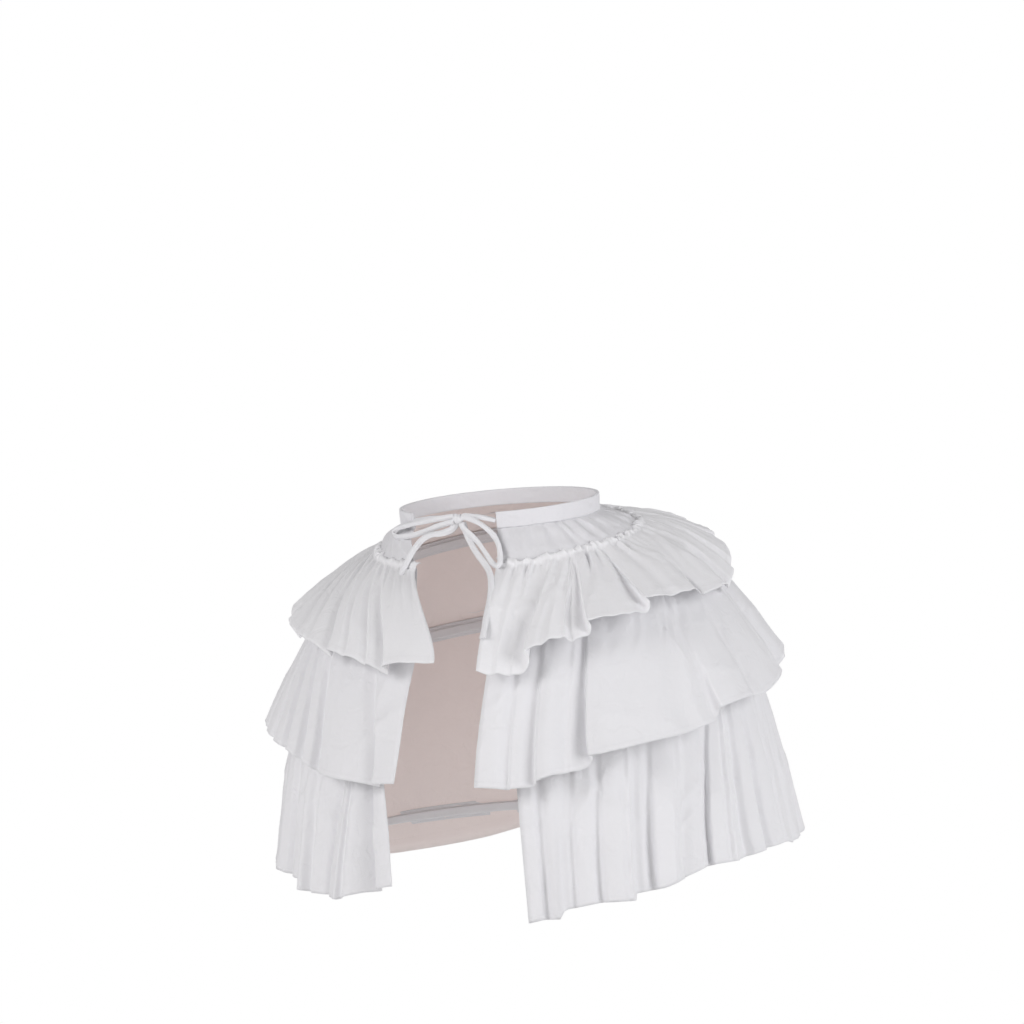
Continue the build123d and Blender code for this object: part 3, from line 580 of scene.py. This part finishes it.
TAPE_THICKNESS = 0.0006
TAPE_COLUMN = 0.0012
TAPE_ROWS = 8
TAPE_AHEAD = 0.002            # how far along its route a tape's direction is taken
TAPE_RISE_SHARE = 0.25        # how far its face looks up
TAPE_TWIST, TAPE_TWIST_RUN = 0.55, 0.03
TAPE_CUP = 0.0009
TAPE_CREASE, TAPE_CREASE_RUN = 0.0006, 0.012
TAPE_WIDTH_SHARE, TAPE_UNEVEN_SHARE, TAPE_UNEVEN_RUN = 0.96, 0.06, 0.02
KNOT_AT = Vector((-0.005, -0.106, -0.007))
KNOT_LEFT, KNOT_RIGHT, KNOT_FOOT = -0.5, -9.5, -11.5
ROUTES_MM = {
    "tie_left": [(36.4, -94.4, -11.9), (22, -99, -7), (10, -102.5, -5), (KNOT_LEFT, -103.5, -4)],
    "tie_right": [(-76.6, -75.7, -11.4), (-56, -90, -8), (-33, -99, -5.5), (KNOT_RIGHT, -103.5, -4)],
    "bow_loop_right": [
        (KNOT_RIGHT, -108.5, -4), (-30, -106.5, -6), (-52, -100, -9), (-76, -88, -13), (-100, -74, -18.5),
        (-108, -68, -21), (-110, -66.5, -25), (-106, -71.5, -28.5), (-95, -83, -29), (-72, -95, -26),
        (-48, -101, -20), (-28, -106.5, -13), (KNOT_RIGHT, -108.5, -10)],
    "bow_loop_left": [
        (KNOT_LEFT, -108.5, -4), (14, -108, -8), (28, -108.5, -16), (40, -111, -27), (48, -118, -40),
        (52, -127, -52), (53, -131, -57), (49, -132, -60), (43, -129.5, -57), (36, -125, -50),
        (22, -116, -35), (10, -112, -24), (0, -109.5, -17.5), (-1, -108.5, KNOT_FOOT)],
    "tie_tail_right": [
        (-8, -105, KNOT_FOOT), (-12, -107, -19), (-24, -110, -22), (-40, -109.5, -23), (-53, -109, -29),
        (-63, -112, -40), (-70, -119, -53), (-75, -128, -66)],
    "tie_tail_left": [
        (-1, -103.5, KNOT_FOOT), (1, -105, -20), (8, -111, -32), (20, -120, -46), (33, -128, -57),
        (44, -141, -66), (51, -155, -76), (56, -174, -90), (60, -198, -107), (64, -222, -125)],
}
TAPE_WIDTHS = {"tie_left": 0.0062, "tie_right": 0.0068, "bow_loop_right": 0.0068, "bow_loop_left": 0.0068,
               "tie_tail_right": 0.0078, "tie_tail_left": 0.0078}


def smooth_line(name, route_mm):
    """Points along the NURBS spline that has the route as its control points."""
    curve = bpy.data.curves.new(name + "_line", "CURVE")
    curve.dimensions = "3D"
    spline = curve.splines.new("NURBS")
    spline.points.add(len(route_mm) - 1)
    for point, place in zip(spline.points, route_mm):
        point.co = (*(value * MM for value in place), 1)
    spline.order_u = 3
    spline.use_endpoint_u = True
    spline.resolution_u = 12
    holder = bpy.data.objects.new(name + "_line", curve)
    bpy.context.scene.collection.objects.link(holder)
    line = bpy.data.meshes.new_from_object(holder)
    points = np.array([vertex.co for vertex in line.vertices])
    bpy.data.objects.remove(holder)
    bpy.data.meshes.remove(line)
    return points


def tape(name):
    """A flat tape along its route, lying against the body and a little creased and twisted."""
    path = smooth_line(name, ROUTES_MM[name])
    steps = np.linalg.norm(np.diff(path, axis=0), axis=1)
    run = np.concatenate([[0], np.cumsum(steps)])
    seed = len(name) + len(path)

    def on_route(at):
        return np.stack([np.interp(at, run, path[:, axis]) for axis in range(3)], axis=-1)

    def shape(along, down):
        at = along * run[-1]
        middle = on_route(at)
        forward = on_route(np.minimum(at + TAPE_AHEAD, run[-1])) - on_route(np.maximum(at - TAPE_AHEAD, 0))
        forward /= np.linalg.norm(forward, axis=1, keepdims=True)
        facing = np.stack([middle[:, 0], middle[:, 1], TAPE_RISE_SHARE * np.abs(middle[:, 1])], axis=-1)
        broad = np.cross(forward, facing)
        broad /= np.linalg.norm(broad, axis=1, keepdims=True)
        face = np.cross(broad, forward)
        twist = TAPE_TWIST * grain(at / TAPE_TWIST_RUN, at * 0, seed)
        spread = broad * np.cos(twist)[:, None] + face * np.sin(twist)[:, None]
        lift = np.cross(spread, forward)
        across = down - 0.5
        crease = TAPE_CUP * np.cos(2 * pi * across)
        crease = crease + TAPE_CREASE * grain(at / TAPE_CREASE_RUN, across * 3, seed + 1)
        uneven = TAPE_UNEVEN_SHARE * grain(at / TAPE_UNEVEN_RUN, at * 0, seed + 2)
        width = TAPE_WIDTHS[name] * (TAPE_WIDTH_SHARE + uneven)
        return middle + spread * (across * width)[:, None] + lift * crease[:, None], along

    columns = int(run[-1] / TAPE_COLUMN)
    sheet = cloth_mesh(name + "_tape", columns, TAPE_ROWS, (run[-1], TAPE_WIDTHS[name]), shape)
    piece = thicken(sheet, TAPE_THICKNESS, 0)
    return piece


tapes = {name: tape(name) for name in ROUTES_MM}


KNOT_WIDE, KNOT_DEEP, KNOT_HIGH = 0.0063, 0.0052, 0.0062
KNOT_SEGMENTS, KNOT_RINGS = 48, 28


def knot():
    """The drawn-up knot: a soft lump with the folds of the tape that wraps it."""
    bm = bmesh.new()
    bm.loops.layers.uv.new("UVMap")
    bmesh.ops.create_uvsphere(bm, u_segments=KNOT_SEGMENTS, v_segments=KNOT_RINGS, radius=1, calc_uvs=True)
    for vertex in bm.verts:
        x, y, z = vertex.co
        wrap = 0.06 * np.sin(5.0 * z + 2.2 * x) + 0.05 * np.sin(7.0 * x - 3.0 * z + 1.0)
        waist = 1 - 0.14 * np.exp(-((x - 0.1 * z) / 0.25) ** 2)
        lump = Vector((x * KNOT_WIDE, y * KNOT_DEEP, z * KNOT_HIGH))
        vertex.co = lump * float((1 + wrap) * waist) + KNOT_AT
    mesh = bpy.data.meshes.new("knot")
    bm.to_mesh(mesh)
    bm.free()
    mesh.shade_smooth()
    piece = bpy.data.objects.new("knot", mesh)
    bpy.context.scene.collection.objects.link(piece)
    return piece


bow_knot = knot()


# Materials

class Value:
    """A number that changes over a surface; sums and products of it add Math nodes."""

    def __init__(self, tree, socket):
        self.tree, self.socket = tree, socket

    def math(self, operation, *others, first=None):
        node = self.tree.nodes.new("ShaderNodeMath")
        node.operation = operation
        values = (self, *others) if first is None else (first, self)
        for socket, value in zip(node.inputs, values):
            if isinstance(value, Value):
                self.tree.links.new(value.socket, socket)
            else:
                socket.default_value = value
        return Value(self.tree, node.outputs[0])

    def __add__(self, other):
        return self.math("ADD", other)

    def __sub__(self, other):
        return self.math("SUBTRACT", other)

    def __mul__(self, other):
        return self.math("MULTIPLY", other)

    def __rsub__(self, other):
        return self.math("SUBTRACT", first=other)

    __radd__ = __add__

    def sine(self):
        return self.math("SINE")

    def clamped(self, low, high):
        return self.math("MAXIMUM", low).math("MINIMUM", high)


MIX_LOW, MIX_HIGH, MIX_RESULT = 6, 7, 2       # sockets of the Mix node for colours


class Finish:
    """A material and the one way its nodes are made."""

    def __init__(self, name):
        self.material = bpy.data.materials.new(name)
        self.material.use_nodes = True
        self.tree = self.material.node_tree
        self.shader = self.tree.nodes["Principled BSDF"]

    def node(self, kind, settings=None, **sockets):
        made = self.tree.nodes.new("ShaderNode" + kind)
        for name, value in (settings or {}).items():
            setattr(made, name, value)
        self.plug(made, sockets)
        return made

    def plug(self, node, sockets):
        for name, value in sockets.items():
            socket = node.inputs[name.replace("_", " ")]
            if isinstance(value, Value):
                value = value.socket
            if isinstance(value, bpy.types.NodeSocket):
                self.tree.links.new(value, socket)
            else:
                socket.default_value = value

    def value(self, socket):
        return Value(self.tree, socket)

    def noise(self, place, scale, detail, **more):
        made = self.node("TexNoise", Vector=place, Scale=scale, Detail=detail, **more)
        return self.value(made.outputs["Fac"])

    def blend(self, factor, low, high):
        mix = self.node("Mix", {"data_type": "RGBA"})
        self.tree.links.new(factor.socket, mix.inputs["Factor"])
        mix.inputs[MIX_LOW].default_value = (*low, 1)
        mix.inputs[MIX_HIGH].default_value = (*high, 1)
        return mix.outputs[MIX_RESULT]


def cloth_coordinates(finish):
    """Metres along and across a piece of cloth, and its position in the object."""
    place = finish.node("TexCoord")
    split = finish.node("SeparateXYZ", Vector=place.outputs["UV"])
    return finish.value(split.outputs[0]), finish.value(split.outputs[1]), place.outputs["Object"]


STITCH_WIDTH = 0.0009
STITCH_PITCH = 0.0028
WEAVE_RELIEF = 0.00004
SLUB_RELIEF = 0.00006
CREASE_RELIEF = 0.0020
SHARP_RELIEF = 0.00045
STITCH_RELIEF = 0.0003
DARK_SHARE, LIGHT_SHARE = 0.955, 1.03


def cotton(name, color, thread, hem):
    """Plain-weave cotton: threads both ways, slubs, faint creases and a stitched hem line."""
    finish = Finish(name)
    along, across, place = cloth_coordinates(finish)
    warp = (along * (2 * pi / thread)).sine()
    weft = (across * (2 * pi / thread)).sine()
    weave = warp * weft
    slub = finish.noise(place, 260.0, 2.0)
    cloud = finish.noise(place, 9.0, 3.0)
    crease = finish.noise(place, 42.0, 4.0, Distortion=0.6)
    line = (1 - ((across - hem) * (1 / STITCH_WIDTH)).math("ABSOLUTE")).clamped(0.0, 1.0)
    dash = ((along * (2 * pi / STITCH_PITCH)).sine() * 3.0 + 1.2).clamped(0.0, 1.0)
    stitch = line * dash
    tone = (cloud * 0.5 + slub * 0.2 + weave * 0.03 - stitch * 0.25 + 0.15).clamped(0.0, 1.0)
    shade = finish.blend(tone, [value * DARK_SHARE for value in color],
                         [min(1.0, value * LIGHT_SHARE) for value in color])
    sharp = (1 - (crease - 0.5).math("ABSOLUTE") * 9.0).clamped(0.0, 1.0)
    relief = weave * WEAVE_RELIEF + slub * SLUB_RELIEF + crease * CREASE_RELIEF
    relief = relief + sharp * SHARP_RELIEF - stitch * STITCH_RELIEF
    bump = finish.node("Bump", Height=relief, Strength=0.55, Distance=1.0)
    finish.plug(finish.shader, {
        "Base_Color": shade, "Roughness": 0.82 + slub * 0.1, "Normal": bump.outputs[0],
        "Sheen_Weight": 0.12, "Sheen_Roughness": 0.6, "Specular_IOR_Level": 0.25})
    return finish.material


def bone(name, color, streak):
    """Drawn flat wire: fine streaks along it."""
    finish = Finish(name)
    place = finish.node("TexCoord").outputs["Object"]
    drawn = finish.node("Mapping", Vector=place, Scale=(20.0, 20.0, 900.0))
    lines = finish.noise(drawn.outputs[0], 4.0, 3.0)
    shade = finish.blend(lines, [value * 0.8 for value in color], color)
    bump = finish.node("Bump", Height=lines * streak, Strength=0.4, Distance=1.0)
    finish.plug(finish.shader, {
        "Base_Color": shade, "Metallic": 1.0, "Roughness": 0.28 + lines * 0.2, "Normal": bump.outputs[0]})
    return finish.material


def dipped(name, color, relief):
    """Dipped plastic on the ends of the bones: a soft skin with small runs."""
    finish = Finish(name)
    place = finish.node("TexCoord").outputs["Object"]
    runs = finish.noise(place, 380.0, 2.0)
    shade = finish.blend(runs, [value * 0.94 for value in color], color)
    bump = finish.node("Bump", Height=runs * relief, Strength=0.5, Distance=1.0)
    finish.plug(finish.shader, {
        "Base_Color": shade, "Roughness": 0.4 + runs * 0.15, "Normal": bump.outputs[0]})
    return finish.material


COTTON_WHITE = (0.79, 0.788, 0.806)
# The upper tier is the same cotton as the tiers below, painted brighter: painted light on its upward-facing
# cloth
UPPER_WHITE_PAINTED_LIGHT = (0.84, 0.838, 0.854)
# The bell is painted darker than the tiers' cotton: painted shade on the yoke, where the body above would
# shade it
BELL_WHITE_PAINTED_SHADE = (0.73, 0.726, 0.746)
# The inside face of the bell is the same cloth, painted brighter and pinker than its outside: painted light
# inside the open front
BELL_INSIDE_PAINTED_LIGHT = (0.95, 0.86, 0.835)
BAND_WHITE = (0.775, 0.77, 0.795)
CHANNEL_WHITE = (0.77, 0.765, 0.785)
BOW_WHITE = (0.81, 0.81, 0.83)
STEEL_GREY = (0.62, 0.63, 0.65)
TIP_WHITE = (0.9, 0.9, 0.9)
COTTON_THREAD, CHANNEL_THREAD = 0.0005, 0.0007
TIER_STITCH, BELL_STITCH, BAND_STITCH = 0.006, 0.010, 0.0026          # from the lower edge
CHANNEL_STITCH, BOW_STITCH = 0.0022, 0.0010
STEEL_STREAK = 0.00005
TIP_RELIEF = 0.0002

tier_cotton = cotton("tier_cotton", COTTON_WHITE, COTTON_THREAD, TIER_STITCH)
upper_cotton_painted_light = cotton("upper_cotton_painted_light", UPPER_WHITE_PAINTED_LIGHT, COTTON_THREAD, TIER_STITCH)
bell_cotton_painted_shade = cotton("bell_cotton_painted_shade", BELL_WHITE_PAINTED_SHADE, COTTON_THREAD, BELL_STITCH)
bell_inside_painted_light = cotton("bell_inside_painted_light", BELL_INSIDE_PAINTED_LIGHT, COTTON_THREAD, BELL_STITCH)
band_cotton = cotton("band_cotton", BAND_WHITE, COTTON_THREAD, BAND_STITCH)
channel_tape = cotton("channel_tape", CHANNEL_WHITE, CHANNEL_THREAD, CHANNEL_STITCH)
bow_tape = cotton("bow_tape", BOW_WHITE, COTTON_THREAD, BOW_STITCH)
drawn_steel = bone("drawn_steel", STEEL_GREY, STEEL_STREAK)
dipped_skin = dipped("dipped_skin", TIP_WHITE, TIP_RELIEF)


# Which piece stands for which node

def dress(piece, material, slot, *nodes):
    """Gives a piece its finish and its place in the frame."""
    piece.data.materials.append(material)
    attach(piece, BODY)
    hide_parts(*nodes)


# The upper tier gets the brighter cotton, painted light for the light on its upward-facing slope
dress(upper_tier, upper_cotton_painted_light, "cotton", "ruffle_upper")
dress(middle_tier, tier_cotton, "cotton", "ruffle_middle")
dress(lower_tier, tier_cotton, "cotton", "ruffle_lower")
# The outside of the bell gets the darker cotton, painted shade under the waist
dress(bell, bell_cotton_painted_shade, "cotton", "base_skirt")
# The inner shell of the bell gets the brighter, pinker colour: painted light on the inside face of the same
# cloth
bell.data.materials.append(bell_inside_painted_light)
bell.modifiers["cloth"].material_offset = 1
dress(waistband, band_cotton, "cotton", "waistband")
for level, piece in casings.items():
    dress(piece, channel_tape, "casing_tape", f"casing_{level}")
for name, piece in tapes.items():
    dress(piece, bow_tape, "tie_tape", name)
dress(bow_knot, bow_tape, "tie_tape", "bow_knot")
for name in ("hoop_upper", "hoop_middle", "hoop_lower", "hoop_tips"):
    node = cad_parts[name]
    node.data.materials.clear()
    node.data.materials.append(dipped_skin if name == "hoop_tips" else drawn_steel)


# Floor, light and camera

def studio_white(tree, lit, seen):
    """Shows plain white to the camera and in reflections, and lights the rest as it is."""
    path = tree.nodes.new("ShaderNodeLightPath")
    seen_by = Value(tree, path.outputs["Is Camera Ray"]) + Value(tree, path.outputs["Is Glossy Ray"])
    seen_by = (seen_by + Value(tree, path.outputs["Is Transmission Ray"])).clamped(0.0, 1.0)
    mix = tree.nodes.new("ShaderNodeMixShader")
    tree.links.new(seen_by.socket, mix.inputs[0])
    tree.links.new(lit, mix.inputs[1])
    tree.links.new(seen, mix.inputs[2])
    return mix.outputs[0]


WHITE = (1, 1, 1, 1)
FLOOR_LEVEL = -1.0
FLOOR_REACH = 30.0
FLOOR_COLOR = (0.92, 0.92, 0.92, 1)
ROOM_COLOR = (1.0, 0.985, 0.98, 1)
ROOM_STRENGTH = 0.335
LAMP_AIM = Vector((0, 0, -0.25))
LAMPS = {
    "key": SimpleNamespace(at=(-1.3, -2.65, 1.3), size=1.5, energy=42, color=(1.0, 0.99, 1.0)),
    "right_fill": SimpleNamespace(at=(3.1, -0.4, 0.6), size=2.4, energy=51, color=(0.98, 0.98, 1.0)),
    "left_fill": SimpleNamespace(at=(-3.0, -1.0, 0.8), size=2.4, energy=4, color=(0.99, 0.99, 1.0)),
    "front_fill": SimpleNamespace(at=(0.4, -3.2, -0.1), size=2.2, energy=10, color=(1.0, 0.99, 0.99)),
}
CAMERA_AT = Vector((1.1795, -2.6493, 0.310))
CAMERA_AIM = Vector((0.0133, 0.0059, -0.0156))
CAMERA_ROLL_DEG = -5.3
CAMERA_LENS_MM = 86.8
SENSOR_WIDTH_MM = 36


def floor():
    """A wide pale floor well below the hem."""
    bm = bmesh.new()
    bmesh.ops.create_grid(bm, x_segments=1, y_segments=1, size=FLOOR_REACH,
                          matrix=Matrix.Translation((0, 0, FLOOR_LEVEL)))
    mesh = bpy.data.meshes.new("floor")
    bm.to_mesh(mesh)
    bm.free()
    piece = bpy.data.objects.new("floor", mesh)
    bpy.context.scene.collection.objects.link(piece)
    finish = Finish("floor_white")
    finish.plug(finish.shader, {"Base_Color": FLOOR_COLOR, "Roughness": 0.9})
    white = finish.node("Emission", Color=WHITE, Strength=1.0)
    surface = studio_white(finish.tree, finish.shader.outputs[0], white.outputs[0])
    finish.tree.links.new(surface, finish.tree.nodes["Material Output"].inputs[0])
    mesh.materials.append(finish.material)


def soft_light(name, at, size, energy, color):
    """A large lamp that faces the part."""
    lamp = bpy.data.lights.new(name, "AREA")
    lamp.shape = "DISK"
    lamp.size = size
    lamp.energy = energy
    lamp.color = color
    holder = bpy.data.objects.new(name, lamp)
    holder.location = at
    holder.rotation_euler = (LAMP_AIM - Vector(at)).to_track_quat("-Z", "Y").to_euler()
    bpy.context.scene.collection.objects.link(holder)


def room():
    """An even white room."""
    world = bpy.data.worlds.new("room")
    bpy.context.scene.world = world
    world.use_nodes = True
    tree = world.node_tree
    lit = tree.nodes["Background"]
    lit.inputs["Color"].default_value = ROOM_COLOR
    lit.inputs["Strength"].default_value = ROOM_STRENGTH
    seen = tree.nodes.new("ShaderNodeBackground")
    seen.inputs["Color"].default_value = WHITE
    surface = studio_white(tree, lit.outputs[0], seen.outputs[0])
    tree.links.new(surface, tree.nodes["World Output"].inputs[0])


def camera():
    """The view that the photograph has: from the front, a little to the wearer's left and above."""
    lens = bpy.data.cameras.new("camera")
    lens.sensor_width = SENSOR_WIDTH_MM
    lens.lens = CAMERA_LENS_MM
    holder = bpy.data.objects.new("camera", lens)
    holder.location = CAMERA_AT
    holder.rotation_mode = "QUATERNION"
    turn = (CAMERA_AIM - CAMERA_AT).to_track_quat("-Z", "Y")
    holder.rotation_quaternion = turn @ Matrix.Rotation(radians(CAMERA_ROLL_DEG), 3, "Z").to_quaternion()
    bpy.context.scene.collection.objects.link(holder)
    bpy.context.scene.camera = holder


floor()
room()
for name, lamp in LAMPS.items():
    soft_light(name, **vars(lamp))
camera()
bpy.context.scene.view_settings.view_transform = "Standard"
